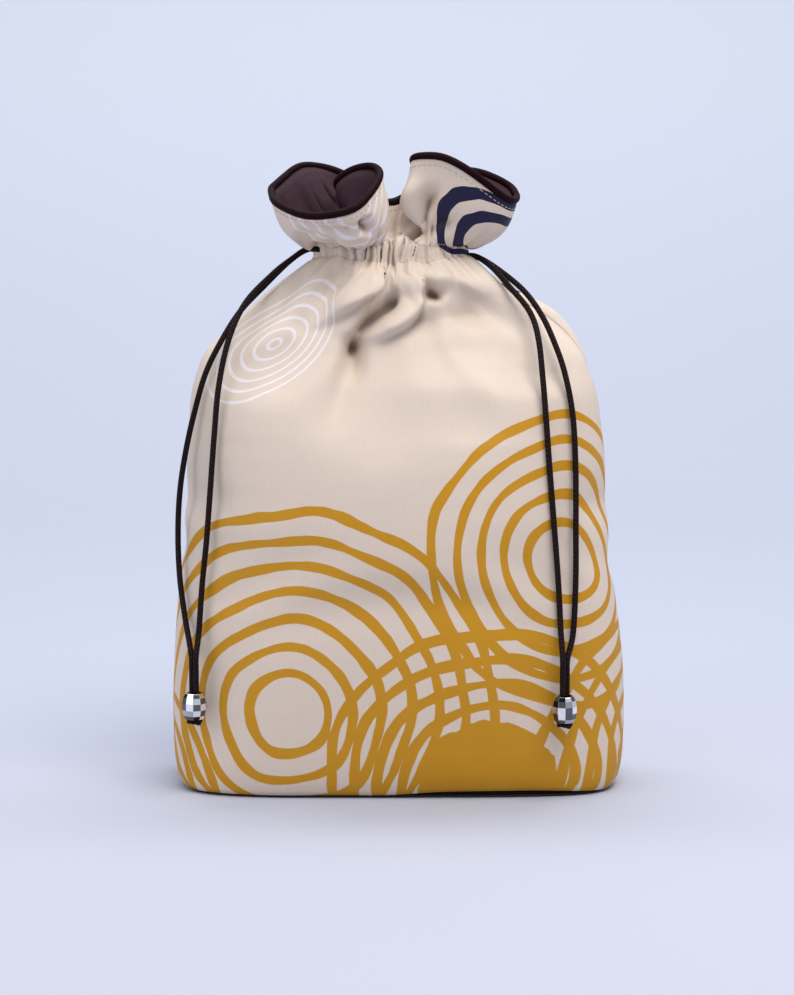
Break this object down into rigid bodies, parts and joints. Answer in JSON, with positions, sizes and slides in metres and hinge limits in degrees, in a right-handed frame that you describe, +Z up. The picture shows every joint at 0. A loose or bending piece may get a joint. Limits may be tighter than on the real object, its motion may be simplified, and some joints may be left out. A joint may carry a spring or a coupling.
{
  "type": "drawstring pouch",
  "caption": "Lined cloth pouch on a flat oval base, its neck gathered by two drawstrings that leave at opposite sides, each ending in a metal bead over a knot.",
  "frame": {"origin": "on the floor, under the middle of the pouch without its beads and cords", "axes": "+Z up; +X to the right of someone facing the printed front; +Y from the front to the back"},
  "size_m": [0.22, 0.1045, 0.3045],
  "materials": {
    "printed_cloth": "satin-woven cotton, wheat coloured, with a printed pattern in mustard",
    "dark_cloth": "plain dark plum-brown cloth",
    "piping": "satin bias tape over a filler cord, brown-black",
    "cord": "round braided cord, brown-black",
    "silver": "bright, faceted"
  },
  "bodies": {
    "pouch": {"outer_front_panel": "printed_cloth", "outer_back_panel": "printed_cloth", "outer_base_panel": "dark_cloth", "lining_front_panel": "dark_cloth", "lining_back_panel": "dark_cloth", "lining_base_panel": "dark_cloth", "rim_piping": "piping", "drawstring_left": "cord", "drawstring_right": "cord", "knot_left": "cord", "knot_right": "cord"},
    "bead_left": {"bead_left": "silver"},
    "bead_right": {"bead_right": "silver"}
  },
  "joints": [
    {"name": "bead_left_slide", "type": "slide", "parent": "pouch", "child": "bead_left", "axis": [0, 0, 1], "range_m": [0, 0.01]},
    {"name": "bead_right_slide", "type": "slide", "parent": "pouch", "child": "bead_right", "axis": [0, 0, 1], "range_m": [0, 0.01]}
  ]
}
